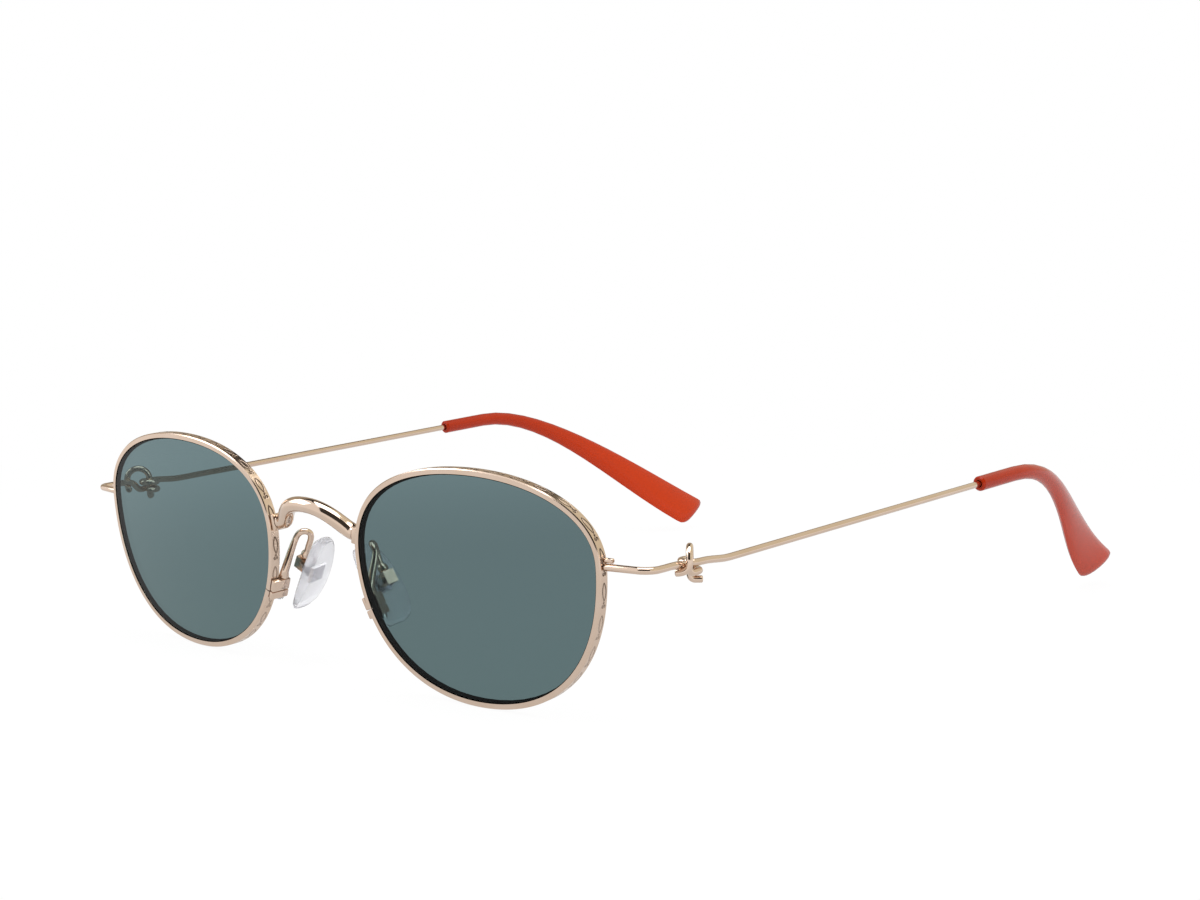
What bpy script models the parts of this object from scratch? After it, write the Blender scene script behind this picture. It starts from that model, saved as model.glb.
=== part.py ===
"""Thin metal sunglasses: grooved rims, wire end pieces, hinges of bent wire and moulded temple tips.

Sizes are in millimetres. X runs to the wearer's left, Y back towards the ears and Z up. The pieces of the
left half are modelled, and are then copied across the middle plane.
"""
import math

import bmesh
import bpy
from mathutils import Matrix, Vector

MM = 0.001
NAME = "wire_rim_sunglasses"

# Lens outline, along the front inner edge of the rim, from the middle of the lens
LENS_WIDTH = 48.0
LENS_RISE = 17.4
LENS_DROP = 18.35
NASAL_HEIGHT = 3.3
OUTER_HEIGHT = 5.2
FULL_UPPER_NASAL = 0.63
FULL_UPPER_OUTER = 0.59
FULL_LOWER_OUTER = 0.63
FULL_LOWER_NASAL = 0.60
LENS_CURVE = 257.0
LENS_THICK = 1.5
LENS_PLAY = 0.15

# How the two lenses stand
BRIDGE_SPAN = 22.8
FACE_WRAP = 4.7
PANTO_TILT = 4.9

# Rim wire, with a groove that takes the bevelled lens edge
RIM_FACE = 0.87
RIM_DEPTH = 1.75
RIM_CHAMFER = 0.15
GROOVE_DEPTH = 0.42
GROOVE_WIDTH = 1.2
SEAM_GAP = 0.1
SEAM_DROP = 6.0
BRAZE_GAP = 0.06

# Rim lock behind the rim: two half blocks drawn together by a screw
BLOCK_WIDTH = 2.2
BLOCK_CHEEK = 0.7
BLOCK_SET = 0.25
BLOCK_UPPER = 2.1
BLOCK_LOWER = 1.4
BLOCK_DEPTH = 1.8
BLOCK_ROUND = 0.2
LOCK_SCREW_D = 0.9
LOCK_HEAD_D = 1.5
LOCK_HEAD_H = 0.5
LOCK_COVER = 0.5
SCREW_PLAY = 0.08
SLOT_WIDTH = 0.25
SLOT_DEPTH = 0.2

# Bridge bar and the lugs that carry it on the rims
BRIDGE_D = 2.7
BRIDGE_CROWN_D = 2.55
BRIDGE_HEIGHT = 5.3
BRIDGE_STUB = 0.5
BRIDGE_PULL = 2.1
BRIDGE_ARCH = 4.0
BRIDGE_FORWARD = 2.95
BRIDGE_FLAT = 6.0
LUG_REACH = 0.9
LUG_HEIGHT = 2.8
LUG_DEPTH = 2.8
LUG_SET = 0.3

# Nose pads, their arms and their holders. The pad's pivot is placed from the lens's nasal point
PAD_LENGTH = 14.0
PAD_WIDTH = 7.4
PAD_THICK = 2.4
PAD_LOW_SHARE = 0.5
PAD_FRONT_SHARE = 0.4
PAD_TAPER = 0.2
PAD_FLARE = 0.9
PAD_FRONT_ROUND = 0.2
PAD_REAR_ROUND = 0.7
PAD_END_ROUND = 0.36
PAD_FRONTAL = 31.0
PAD_SPLAY = 12.0
PAD_SETBACK = 7.8
PAD_DROP = 2.85
PAD_OUTSET = -0.25
PAD_CLEAR = 0.45
HOLDER_WALL = 0.5
HOLDER_HEIGHT = 2.2
HOLDER_LIP = 0.75
TAB_THICK = 0.7
TAB_RADIUS = 0.7
TAB_PLAY = 0.15
PLATE_THICK = 0.6
PLATE_LENGTH = 3.0
PLATE_WIDTH = 2.6
PLATE_PLAY = 0.1
PAD_SCREW_D = 0.7
PAD_HEAD_D = 1.4
PAD_HEAD_H = 0.4
ARM_D = 1.05
ARM_FOOT_D = 1.8
ARM_STUB = 1.2
ARM_DROP = 1.9
ARM_RISE = 5.9
ARM_LEAN = 1.65
ARM_FORWARD = 1.1
ARM_CROWN = 1.2
ARM_BALL_D = 1.8
ARM_BALL_SEAT = 0.3

# End piece wire, hinge loop and temple wire
WIRE_D = 1.12
END_PIECE_HEIGHT = 4.9
END_PIECE_REACH = 7.38
END_PIECE_RUN = 12.0
END_PIECE_BEND = 2.4
PEG_D = 0.8
PEG_LENGTH = 1.5
PIN_D = 1.1
PIN_PLAY = 0.25
PIN_BEND = 0.8
PIN_FOOT = 1.9
HINGE_GAP = 0.25
EYE_TURN = 230.0
LOOP_SET = 3.1
LOOP_RISE = 2.5
LOOP_HOOK = 1.9
LOOP_SLANT = 0.95
TEMPLE_REACH = 75.6
TEMPLE_SAG = 0.65
TEMPLE_RISE = 3.95
TEMPLE_TOE = 0.75
TEMPLE_SETTLE = 7.5

# Temple tip, a moulded sleeve that bends down behind the ear
TIP_D = 2.6
TIP_STRAIGHT = 11.2
TIP_RUN = 53.4
TIP_TUCK = 14.1
TIP_END_SLOPE = 26.8
TIP_END_TUCK = 8.6
TIP_START_PULL = 18.8
TIP_END_PULL = 20.9
TIP_END_WIDTH = 8.0
TIP_END_THICK = 2.4
TIP_ROUND = 0.3
TIP_END_ROUND = 1.8
TIP_EDGE_SHARE = 0.35
TIP_FLARE = 1.43
TIP_SLANT = 0.65
TIP_ROLL = 21.6
CORE_LENGTH = 9.5
CORE_PLAY = 0.1

# Facets. The lens has rings at these shares of its outline
RIM_STEPS = 72
LENS_STEPS = 64
LENS_RINGS = (0.06, 0.4, 0.75, 1.0)
WIRE_RING = 2
EYE_STEPS = 12
BEND_STEPS = 6
ARM_STEPS = 5
PATH_STEPS = 16
TIP_STEPS = 24
RING_SIDES = 16
ROUND_SIDES = 20
ROUND_STEPS = 2
SHARP_ANGLE = 35.0
SEARCH_STEPS = 40
WELD = 0.0005

# Values that follow from the sizes above
LENS_CENTRE_X = (BRIDGE_SPAN + LENS_WIDTH) / 2
EYE_RADIUS = PIN_D / 2 + PIN_PLAY + WIRE_D / 2
EYE_DROP = WIRE_D + HINGE_GAP
FOOT_DROP = EYE_DROP + WIRE_D / 2 + HINGE_GAP + PIN_D / 2
HOLDER_SLOT = TAB_THICK + 2 * TAB_PLAY
HOLDER_WIDTH = HOLDER_SLOT + 2 * HOLDER_WALL
HOLDER_BACK = TAB_RADIUS + TAB_PLAY + HOLDER_WALL
PAD_MIDDLE = HOLDER_LIP + PAD_CLEAR + PAD_THICK / 2

GOLD = ("champagne gold", (0.80, 0.62, 0.47, 1.0), 0.25, 1.0, 0.0)
STEEL = ("screw metal", (0.72, 0.60, 0.48, 1.0), 0.3, 1.0, 0.0)
GLASS = ("grey green lens", (0.10, 0.16, 0.16, 1.0), 0.05, 0.0, 0.5)
SILICONE = ("clear silicone", (0.88, 0.90, 0.92, 1.0), 0.12, 0.0, 0.8)
TIP_ORANGE = ("orange acetate", (0.72, 0.10, 0.03, 1.0), 0.3, 0.0, 0.1)


# Scene, collections and materials

def clear_scene():
    for item in list(bpy.data.objects):
        bpy.data.objects.remove(item, do_unlink=True)


def new_collection(name):
    collection = bpy.data.collections.new(name)
    bpy.context.scene.collection.children.link(collection)
    return collection


def material(look):
    name, colour, roughness, metallic, transmission = look
    found = bpy.data.materials.get(name)
    if found:
        return found
    made = bpy.data.materials.new(name)
    made.use_nodes = True
    shader = made.node_tree.nodes["Principled BSDF"]
    shader.inputs["Base Color"].default_value = colour
    shader.inputs["Roughness"].default_value = roughness
    shader.inputs["Metallic"].default_value = metallic
    shader.inputs["Transmission Weight"].default_value = transmission
    return made


clear_scene()
PARTS = new_collection(NAME)
GUIDES = new_collection(NAME + "_cutters")


def add_part(name, data, look, parent, matrix=Matrix.Identity(4)):
    item = bpy.data.objects.new(name, data)
    PARTS.objects.link(item)
    data.materials.append(material(look))
    item.parent = parent
    item.matrix_basis = matrix
    return item


def add_guide(name, data, parent, matrix=Matrix.Identity(4)):
    item = bpy.data.objects.new(name, data)
    GUIDES.objects.link(item)
    item.parent = parent
    item.matrix_basis = matrix
    item.hide_render = True
    item.display_type = "WIRE"
    return item


def add_empty(name, parent, place):
    item = bpy.data.objects.new(name, None)
    PARTS.objects.link(item)
    item.parent = parent
    item.location = place * MM
    return item


# Shape helpers: every place that they take is a Vector in millimetres

def wire_data(name, places, diameter, widths=()):
    """A round wire along the places. widths gives the diameter at the first places, where it differs."""
    data = bpy.data.curves.new(name, "CURVE")
    data.dimensions = "3D"
    data.bevel_depth = diameter / 2 * MM
    data.bevel_resolution = WIRE_RING
    data.use_fill_caps = True
    spline = data.splines.new("POLY")
    spline.points.add(len(places) - 1)
    for index, place in enumerate(places):
        spline.points[index].co = (*(place * MM), 1.0)
    for point, wide in zip(spline.points, widths):
        point.radius = wide / diameter
    return data


def loft_data(name, rings):
    """A closed solid through rings with equal numbers of points, closed flat at both ends."""
    shape = bmesh.new()
    loops = []
    for ring in rings:
        loops.append([shape.verts.new(place * MM) for place in ring])
    for first, second in zip(loops, loops[1:]):
        for index in range(len(first)):
            shape.faces.new((first[index - 1], first[index], second[index], second[index - 1]))
    shape.faces.new(loops[0])
    shape.faces.new(loops[-1])
    return finish_mesh(name, shape)


def box_data(name, low, high):
    shape = bmesh.new()
    bmesh.ops.create_cube(shape, size=1.0)
    size = (high - low) * MM
    bmesh.ops.scale(shape, vec=size, verts=shape.verts)
    bmesh.ops.translate(shape, vec=(high + low) / 2 * MM, verts=shape.verts)
    return finish_mesh(name, shape)


def rod_data(name, start, end, diameter):
    """A round rod from start to end."""
    shape = bmesh.new()
    add_rod(shape, start, end, diameter)
    return finish_mesh(name, shape)


def add_rod(shape, start, end, diameter):
    run = end - start
    turn = Vector((0, 0, 1)).rotation_difference(run).to_matrix().to_4x4()
    radius = diameter / 2 * MM
    place = Matrix.Translation((start + end) / 2 * MM) @ turn
    bmesh.ops.create_cone(shape, cap_ends=True, segments=ROUND_SIDES, radius1=radius, radius2=radius,
                          depth=run.length * MM, matrix=place)


def finish_mesh(name, shape):
    bmesh.ops.recalc_face_normals(shape, faces=shape.faces)
    data = bpy.data.meshes.new(name)
    shape.to_mesh(data)
    shape.free()
    data.shade_smooth()
    data.set_sharp_from_angle(angle=math.radians(SHARP_ANGLE))
    return data


def boolean(item, other, operation="DIFFERENCE"):
    step = item.modifiers.new(other.name, "BOOLEAN")
    step.operation = operation
    step.object = other


def bezier(first, pull_first, pull_last, last, share):
    rest = 1 - share
    return (first * rest ** 3 + pull_first * 3 * rest ** 2 * share
            + pull_last * 3 * rest * share ** 2 + last * share ** 3)


def smooth_through(places, steps):
    """Points on a smooth curve through the places."""
    ends = [places[0] * 2 - places[1]] + places + [places[-1] * 2 - places[-2]]
    points = []
    for index in range(1, len(ends) - 2):
        first, last = ends[index], ends[index + 1]
        # Each pull is a third of its own run, so a short run beside a long one makes no loop
        pull = (last - first).length / 3
        lead = (last - ends[index - 1]).normalized() * pull
        trail = (ends[index + 2] - first).normalized() * pull
        for step in range(steps):
            points.append(bezier(first, first + lead, last - trail, last, step / steps))
    return points + [places[-1]]


def rounded_corner(before, corner, after, radius):
    """Points on an arc that rounds the corner of two straight runs."""
    back = (before - corner).normalized()
    ahead = (after - corner).normalized()
    half = back.angle(ahead) / 2
    start = corner + back * radius / math.tan(half)
    centre = corner + (back + ahead).normalized() * radius / math.sin(half)
    arm = start - centre
    axis = back.cross(ahead)
    sweep = math.pi - 2 * half
    points = []
    for step in range(BEND_STEPS + 1):
        turn = Matrix.Rotation(-sweep * step / BEND_STEPS, 3, axis)
        points.append(centre + turn @ arm)
    return points


# Lens outline: four quarters between the nasal, top, outer and bottom points

NASAL = Vector((-LENS_WIDTH / 2, NASAL_HEIGHT))
TOP = Vector((0, LENS_RISE))
OUTER = Vector((LENS_WIDTH / 2, OUTER_HEIGHT))
BOTTOM = Vector((0, -LENS_DROP))
QUARTERS = (
    (NASAL, TOP, FULL_UPPER_NASAL),
    (TOP, OUTER, FULL_UPPER_OUTER),
    (OUTER, BOTTOM, FULL_LOWER_OUTER),
    (BOTTOM, NASAL, FULL_LOWER_NASAL),
)


def outline_point(turn):
    """Point on the lens outline. turn runs from 0 to 4, once round from the nasal point."""
    quarter = int(turn % 4)
    first, last, full = QUARTERS[quarter]
    reach = (last - first) * full
    across = Vector((reach.x, 0))
    along = Vector((0, reach.y))
    upright = quarter % 2 == 0
    pull_first = first + (along if upright else across)
    pull_last = last - (across if upright else along)
    return bezier(first, pull_first, pull_last, last, turn % 4 - quarter)


def outline_heading(turn):
    nudge = 0.001
    return (outline_point(turn + nudge) - outline_point(turn - nudge)).normalized()


def rim_place(turn, out, depth, share=1.0):
    """Place in the lens frame: out from the outline, depth behind its domed front, share of its size."""
    heading = outline_heading(turn)
    flat = (outline_point(turn) + Vector((-heading.y, heading.x)) * out) * share
    return Vector((flat.x, flat.y, -flat.length_squared / (2 * LENS_CURVE) - depth))


def turn_at_height(height, low_turn, high_turn):
    """The turn between two others at which the outline passes a height."""
    rising = outline_point(high_turn).y > outline_point(low_turn).y
    for _ in range(SEARCH_STEPS):
        middle = (low_turn + high_turn) / 2
        if (outline_point(middle).y < height) == rising:
            low_turn = middle
        else:
            high_turn = middle
    return (low_turn + high_turn) / 2


def lens_frame():
    """Frame of the left lens: x out, y up, z to the front."""
    tilt = Matrix.Rotation(math.radians(PANTO_TILT), 4, "X")
    wrap = Matrix.Rotation(math.radians(FACE_WRAP), 4, "Z")
    shift = Matrix.Translation((LENS_CENTRE_X, 0, 0))
    return tilt @ wrap @ shift @ Matrix.Rotation(math.pi / 2, 4, "X")


LENS_FRAME = lens_frame()
LENS_TURN = LENS_FRAME.to_3x3()
SEAM_TURN = turn_at_height(-SEAM_DROP, 3, 4)
END_TURN = turn_at_height(END_PIECE_HEIGHT, 1, 2)
BRIDGE_TURN = turn_at_height(BRIDGE_HEIGHT, 0, 1)


def placed(matrix):
    """A frame in millimetres as an object matrix in metres."""
    made = matrix.copy()
    made.translation = matrix.translation * MM
    return made


def wall_root(turn, depth):
    """Place on the rim's outer wall, a braze gap off it, and the level way straight out of it."""
    place = LENS_FRAME @ rim_place(turn, RIM_FACE + BRAZE_GAP, depth)
    out = place - LENS_FRAME @ rim_place(turn, 0, depth)
    out.z = 0
    return place, out.normalized()


def nasal_frame(turn):
    """Frame on the outline's nasal side: x out towards the nose, y up along the rim, z to the back."""
    heading = outline_heading(turn)
    out = Vector((-heading.y, heading.x, 0))
    turned = Matrix((out, (heading.x, heading.y, 0), (0, 0, -1))).transposed()
    return LENS_FRAME @ Matrix.Translation(rim_place(turn, 0, 0)) @ turned.to_4x4()


# Rim and lens

def build_rim():
    half = GROOVE_WIDTH / 2
    middle = RIM_DEPTH / 2
    section = (
        (0, 0), (RIM_FACE - RIM_CHAMFER, 0), (RIM_FACE, RIM_CHAMFER),
        (RIM_FACE, RIM_DEPTH - RIM_CHAMFER), (RIM_FACE - RIM_CHAMFER, RIM_DEPTH), (0, RIM_DEPTH),
        (0, middle + half), (GROOVE_DEPTH, middle), (0, middle - half),
    )
    shape = bpy.data.curves.new("rim_section", "CURVE")
    shape.dimensions = "2D"
    shape.fill_mode = "NONE"
    spline = shape.splines.new("POLY")
    spline.points.add(len(section) - 1)
    for point, (out, depth) in zip(spline.points, reversed(section)):
        point.co = (-out * MM, -depth * MM, 0, 1)
    spline.use_cyclic_u = True
    profile = add_guide("rim_section", shape, ROOT)
    nudge = 0.01
    pace = (outline_point(SEAM_TURN + nudge) - outline_point(SEAM_TURN)).length / nudge
    skip = SEAM_GAP / 2 / pace
    data = wire_data("left_rim", [
        rim_place(SEAM_TURN + skip + (4 - 2 * skip) * step / RIM_STEPS, 0, 0)
        for step in range(RIM_STEPS + 1)
    ], RIM_FACE)
    data.bevel_mode = "OBJECT"
    data.bevel_object = profile
    data.twist_mode = "Z_UP"
    return add_part("left_rim", data, GOLD, ROOT, placed(LENS_FRAME))


def build_lens():
    half = GROOVE_WIDTH / 2
    middle = RIM_DEPTH / 2
    front = middle - LENS_THICK / 2
    back = middle + LENS_THICK / 2
    edge = -LENS_PLAY
    tongue = GROOVE_DEPTH - LENS_PLAY
    stations = [(share, edge, front) for share in LENS_RINGS]
    stations += [(1.0, edge, middle - half), (1.0, tongue, middle), (1.0, edge, middle + half)]
    stations += [(share, edge, back) for share in reversed(LENS_RINGS)]
    rings = []
    for share, out, depth in stations:
        rings.append([rim_place(4 * step / LENS_STEPS, out, depth, share) for step in range(LENS_STEPS)])
    return add_part("left_lens", loft_data("left_lens", rings), GLASS, ROOT, placed(LENS_FRAME))


# Rim lock

def build_rim_lock():
    frame = nasal_frame(SEAM_TURN)
    matrix = placed(frame)
    wall = RIM_FACE + BRAZE_GAP
    far = wall + BLOCK_CHEEK
    near = far - BLOCK_WIDTH
    axis_x = (near + far) / 2
    front = RIM_DEPTH + BRAZE_GAP
    back = front + BLOCK_DEPTH
    axis_z = (front + back) / 2
    half_gap = SEAM_GAP / 2
    top = half_gap + BLOCK_UPPER
    foot = -half_gap - BLOCK_LOWER

    def on_axis(height):
        return Vector((axis_x, height, axis_z))

    bore_top = top - LOCK_COVER
    bore_data = rod_data("lock_bore", on_axis(2 * foot), on_axis(bore_top), LOCK_SCREW_D + 2 * SCREW_PLAY)
    bore = add_guide("lock_bore", bore_data, ROOT, matrix)
    notch_low = Vector((2 * near - far, 2 * foot, -front))
    notch_data = box_data("lock_notch", notch_low, Vector((wall, 2 * top, front)))
    notch = add_guide("lock_notch", notch_data, ROOT, matrix)
    pieces = []
    for name, low, high in (("left_lock_upper", half_gap, top), ("left_lock_lower", foot, -half_gap)):
        data = box_data(name, Vector((near, low, BLOCK_SET)), Vector((far, high, back)))
        half = add_part(name, data, GOLD, ROOT, matrix)
        edge = half.modifiers.new("round", "BEVEL")
        edge.width = BLOCK_ROUND * MM
        edge.segments = ROUND_STEPS
        boolean(half, notch)
        boolean(half, bore)
        pieces.append(half)
    head_top = foot - SCREW_PLAY
    head_foot = head_top - LOCK_HEAD_H
    head_data = rod_data("left_lock_screw", on_axis(head_foot), on_axis(head_top), LOCK_HEAD_D)
    screw = add_part("left_lock_screw", head_data, STEEL, ROOT, matrix)
    shank_data = rod_data("lock_shank", on_axis(head_top - LOCK_HEAD_H / 2), on_axis(bore_top - SCREW_PLAY),
                          LOCK_SCREW_D)
    boolean(screw, add_guide("lock_shank", shank_data, ROOT, matrix), "UNION")
    slot_low = Vector((axis_x - LOCK_HEAD_D, head_foot - SLOT_DEPTH, axis_z - SLOT_WIDTH / 2))
    slot_high = Vector((axis_x + LOCK_HEAD_D, head_foot + SLOT_DEPTH, axis_z + SLOT_WIDTH / 2))
    boolean(screw, add_guide("lock_slot", box_data("lock_slot", slot_low, slot_high), ROOT, matrix))
    foot_set = ARM_FOOT_D / 2
    arm_root = frame @ Vector((far - foot_set, top + BRAZE_GAP, back - foot_set))
    arm_way = frame.to_3x3() @ Vector((0, 1, 0))
    return pieces + [screw], arm_root, arm_way


# Bridge and its lugs

def build_bridge_lug():
    near = RIM_FACE + BRAZE_GAP
    low = Vector((near, -LUG_HEIGHT / 2, LUG_SET))
    high = Vector((near + LUG_REACH, LUG_HEIGHT / 2, LUG_SET + LUG_DEPTH))
    lug = add_part("left_bridge_lug", box_data("left_bridge_lug", low, high), GOLD, ROOT,
                   placed(nasal_frame(BRIDGE_TURN)))
    edge = lug.modifiers.new("round", "BEVEL")
    edge.width = BLOCK_ROUND * MM
    edge.segments = ROUND_STEPS
    return lug


def build_bridge():
    frame = nasal_frame(BRIDGE_TURN)
    out = frame.to_3x3() @ Vector((1, 0, 0))
    reach = RIM_FACE + LUG_REACH + 2 * BRAZE_GAP
    root = frame @ Vector((reach, 0, LUG_SET + LUG_DEPTH / 2))
    crown = root + Vector((-root.x, -BRIDGE_FORWARD, BRIDGE_ARCH))
    level = Vector((BRIDGE_FLAT, 0, 0))
    knee = root + out * BRIDGE_STUB
    half = [root]
    for step in range(PATH_STEPS + 1):
        half.append(bezier(knee, knee + out * BRIDGE_PULL, crown + level, crown, step / PATH_STEPS))
    other = [Vector((-place.x, place.y, place.z)) for place in reversed(half[:-1])]
    places = half + other
    # The bar thins a little from its brazed ends to its crown
    widths = []
    for place in places:
        ease = math.sin(math.pi / 2 * (1 - abs(place.x / root.x))) ** 2
        widths.append(BRIDGE_D + (BRIDGE_CROWN_D - BRIDGE_D) * ease)
    return add_part("bridge", wire_data("bridge", places, BRIDGE_D, widths), GOLD, ROOT)


# Nose pad, its holder and its arm

def pad_frame():
    """Frame at the pad's pivot: x to the nose, y up the pad, z along the pivot screw to the back."""
    frontal = math.radians(PAD_FRONTAL)
    splay = math.radians(PAD_SPLAY)
    up = Vector((-math.sin(frontal), math.cos(frontal), 0))
    nose = Vector((-math.cos(frontal), -math.sin(frontal), -math.tan(splay))).normalized()
    back = nose.cross(up)
    turn = LENS_TURN @ Matrix((nose, up, back)).transposed()
    pivot = LENS_FRAME @ Vector((NASAL.x + PAD_OUTSET, -PAD_DROP, -PAD_SETBACK))
    return Matrix.Translation(pivot) @ turn.to_4x4()


def build_pad_holder(frame):
    matrix = placed(frame)
    tall = HOLDER_HEIGHT / 2
    wide = HOLDER_WIDTH / 2
    slot = HOLDER_SLOT / 2
    data = box_data("left_pad_holder", Vector((-HOLDER_BACK, -tall, -wide)), Vector((HOLDER_LIP, tall, wide)))
    holder = add_part("left_pad_holder", data, GOLD, ROOT, matrix)
    boolean(holder, add_guide("holder_slot", box_data(
        "holder_slot", Vector((HOLDER_WALL - HOLDER_BACK, -2 * tall, -slot)),
        Vector((2 * HOLDER_LIP, 2 * tall, slot))), ROOT, matrix))
    bore = rod_data("holder_bore", Vector((0, 0, -2 * wide)), Vector((0, 0, 2 * wide)),
                    PAD_SCREW_D + 2 * SCREW_PLAY)
    boolean(holder, add_guide("holder_bore", bore, ROOT, matrix))
    head = -wide - SCREW_PLAY
    screw = add_part("left_pad_screw", rod_data("left_pad_screw", Vector((0, 0, head - PAD_HEAD_H)),
                                                 Vector((0, 0, head)), PAD_HEAD_D), STEEL, ROOT, matrix)
    shank = rod_data("pad_shank", Vector((0, 0, head - PAD_HEAD_H / 2)), Vector((0, 0, wide)), PAD_SCREW_D)
    boolean(screw, add_guide("pad_shank", shank, ROOT, matrix), "UNION")
    return [holder, screw]


def build_pad(frame, pivot):
    turn = frame.to_3x3().to_4x4()
    middle = PAD_MIDDLE
    plate_low = Vector((middle - PLATE_THICK / 2, -PLATE_LENGTH / 2, -PLATE_WIDTH / 2))
    plate_high = Vector((middle + PLATE_THICK / 2, PLATE_LENGTH / 2, PLATE_WIDTH / 2))
    tab = TAB_THICK / 2
    plate = box_data("left_pad_insert", plate_low, plate_high)
    insert = add_part("left_pad_insert", plate, STEEL, pivot, turn)
    stem = box_data("tab_stem", Vector((0, -TAB_RADIUS, -tab)), Vector((middle, TAB_RADIUS, tab)))
    boolean(insert, add_guide("tab_stem", stem, pivot, turn), "UNION")
    eye = rod_data("tab_eye", Vector((0, 0, -tab)), Vector((0, 0, tab)), 2 * TAB_RADIUS)
    boolean(insert, add_guide("tab_eye", eye, pivot, turn), "UNION")
    hole = rod_data("tab_hole", Vector((0, 0, -TAB_THICK)), Vector((0, 0, TAB_THICK)),
                    PAD_SCREW_D + 2 * SCREW_PLAY)
    boolean(insert, add_guide("tab_hole", hole, pivot, turn))
    # The pad has a nearly straight front edge, a round rear edge and a broader lower end
    rings = []
    for step in range(PATH_STEPS + 1):
        angle = math.pi * (step + 0.5) / (PATH_STEPS + 1)
        upper = (1 - math.cos(angle)) / 2
        along = PAD_LENGTH * (upper - PAD_LOW_SHARE)
        narrow = 1 - PAD_TAPER * upper
        broad = PAD_WIDTH * PAD_FRONT_SHARE + PAD_FLARE * (1 - upper)
        edge_front = -broad * math.sin(angle) ** PAD_FRONT_ROUND
        edge_rear = PAD_WIDTH * (1 - PAD_FRONT_SHARE) * math.sin(angle) ** PAD_REAR_ROUND * narrow
        middle_z = (edge_front + edge_rear) / 2
        half_z = (edge_rear - edge_front) / 2
        thick = PAD_THICK / 2 * math.sin(angle) ** PAD_END_ROUND
        ring = []
        for side in range(RING_SIDES):
            around = 2 * math.pi * side / RING_SIDES
            across = middle_z + half_z * math.sin(around)
            ring.append(Vector((middle + thick * math.cos(around), along, across)))
        rings.append(ring)
    pad = add_part("left_nose_pad", loft_data("left_nose_pad", rings), SILICONE, pivot, turn)
    play = Vector((PLATE_PLAY, PLATE_PLAY, PLATE_PLAY))
    pocket = add_guide("pad_pocket", box_data("pad_pocket", plate_low - play, plate_high + play), pivot, turn)
    boolean(pad, pocket)
    slit = box_data("pad_slit", Vector((0, -TAB_RADIUS - PLATE_PLAY, -tab - PLATE_PLAY)),
                    Vector((middle, TAB_RADIUS + PLATE_PLAY, tab + PLATE_PLAY)))
    boolean(pad, add_guide("pad_slit", slit, pivot, turn))
    return [insert, pad]


def build_pad_arm(frame, root, way):
    ahead = LENS_TURN @ Vector((0, 0, 1))
    inward = LENS_TURN @ Vector((-1, 0, 0))
    upward = LENS_TURN @ Vector((0, 1, 0))
    pad_up = frame.to_3x3() @ Vector((0, 1, 0))
    end = frame @ Vector(((HOLDER_LIP - HOLDER_BACK) / 2, HOLDER_HEIGHT / 2 + BRAZE_GAP, 0))
    ball = end + pad_up * (ARM_BALL_D / 2 - ARM_BALL_SEAT)
    crown = frame.translation + inward * ARM_LEAN + upward * ARM_RISE + ahead * ARM_FORWARD
    places = [
        root,
        root + way * ARM_STUB,
        crown - (inward + upward - ahead / 2) * ARM_CROWN,
        crown,
        crown + (inward / 2 - upward / 2 - ahead) * ARM_CROWN,
        end + pad_up * ARM_DROP,
        ball,
        end,
    ]
    # The stem tapers from its brazed foot to the round wire, which ends in a ball on the holder
    path = smooth_through(places, ARM_STEPS)
    taper = 2 * ARM_STEPS
    widths = []
    for step, place in enumerate(path):
        stem = ARM_FOOT_D + (ARM_D - ARM_FOOT_D) * min(step / taper, 1)
        bulge = (ARM_BALL_D / 2) ** 2 - (place - ball).length_squared
        widths.append(max(stem, 2 * math.sqrt(max(bulge, 0))))
    data = wire_data("left_pad_arm", path, ARM_D, widths)
    return add_part("left_pad_arm", data, GOLD, ROOT)


# End piece wire, peg and hinge loop

def hinge_place():
    """Hinge axis at the level of the end piece wire."""
    root = wall_root(END_TURN, RIM_DEPTH / 2)[0]
    reach = END_PIECE_REACH - EYE_RADIUS
    return root + Vector((reach, END_PIECE_RUN, 0))


def eye_places(start, end):
    """Places round the hinge axis between two angles in degrees."""
    count = math.ceil(abs(end - start) / 360 * EYE_STEPS)
    places = []
    for step in range(count + 1):
        angle = math.radians(start + (end - start) * step / count)
        places.append(Vector((math.cos(angle), math.sin(angle), 0)) * EYE_RADIUS)
    return places


def build_end_piece(hinge):
    root, out = wall_root(END_TURN, RIM_DEPTH / 2)
    run_x = hinge.x + EYE_RADIUS
    corner = root + out * (run_x - root.x) / out.x
    tangent = Vector((run_x, hinge.y, hinge.z))
    places = [root] + rounded_corner(root, corner, tangent, END_PIECE_BEND)
    # The wire dips to pass under the temple's eye, and its own eye lies below that
    dip = Vector((0, 0, EYE_DROP))
    places.append(tangent - Vector((0, LOOP_SET, 0)))
    places.append(tangent - Vector((0, EYE_RADIUS, 0)) - dip)
    places += [hinge + place - dip for place in eye_places(0, EYE_TURN)]
    wire = add_part("left_end_piece", wire_data("left_end_piece", places, WIRE_D), GOLD, ROOT)
    lift = Vector((0, 0, (WIRE_D + PEG_D) / 2 + BRAZE_GAP))
    peg = wire_data("left_end_peg", [root + lift, root + lift + out * PEG_LENGTH], PEG_D)
    return [wire, add_part("left_end_peg", peg, GOLD, ROOT)]


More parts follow.
